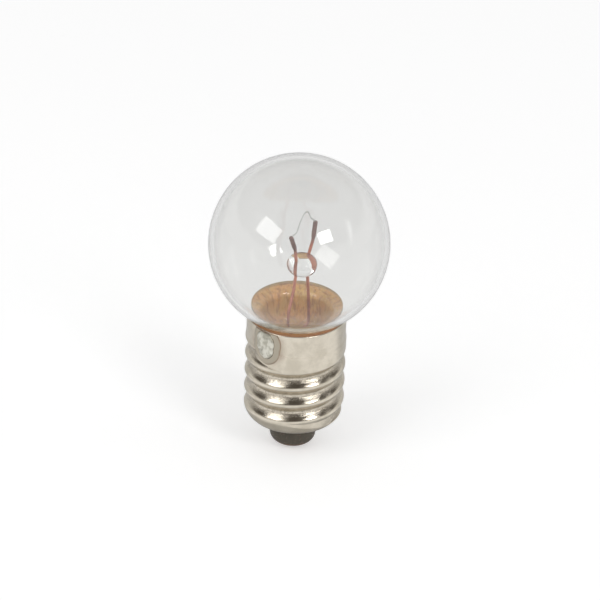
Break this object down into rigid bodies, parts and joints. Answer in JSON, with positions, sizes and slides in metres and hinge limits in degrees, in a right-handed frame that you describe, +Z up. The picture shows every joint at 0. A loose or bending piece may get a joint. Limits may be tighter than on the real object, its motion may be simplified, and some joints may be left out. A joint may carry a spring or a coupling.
{
  "type": "light bulb",
  "caption": "Miniature clear globe lamp on an E10 screw cap, with coiled filament, lead wires and soldered contact.",
  "frame": {"origin": "tip of the centre contact, on the lamp's axis", "axes": "+Z up the axis from the centre contact to the top of the globe; +Y to the back, away from the picture's view; the side solder is at the front left"},
  "size_m": [0.0168, 0.0168, 0.03],
  "materials": {
    "nickel_plated_brass": "dull nickel plate over brass, bare brass inside",
    "black_glass": "black pressed glass",
    "brass": "bright brass",
    "solder": "lumpy tin solder",
    "clear_glass": "clear blown glass",
    "cement": "reddish-brown capping cement",
    "bead_glass": "clear pressed glass",
    "lead_wire": "copper-sheathed nickel-iron wire",
    "tungsten": "drawn tungsten wire"
  },
  "bodies": {
    "root": {"screw_shell": "nickel_plated_brass", "insulator": "black_glass", "contact_eyelet": "brass", "contact_solder": "solder", "glass_envelope": "clear_glass", "capping_cement": "cement", "glass_bead": "bead_glass", "side_lead": "lead_wire", "centre_lead": "lead_wire", "filament": "tungsten", "side_solder": "solder"}
  },
  "joints": []
}
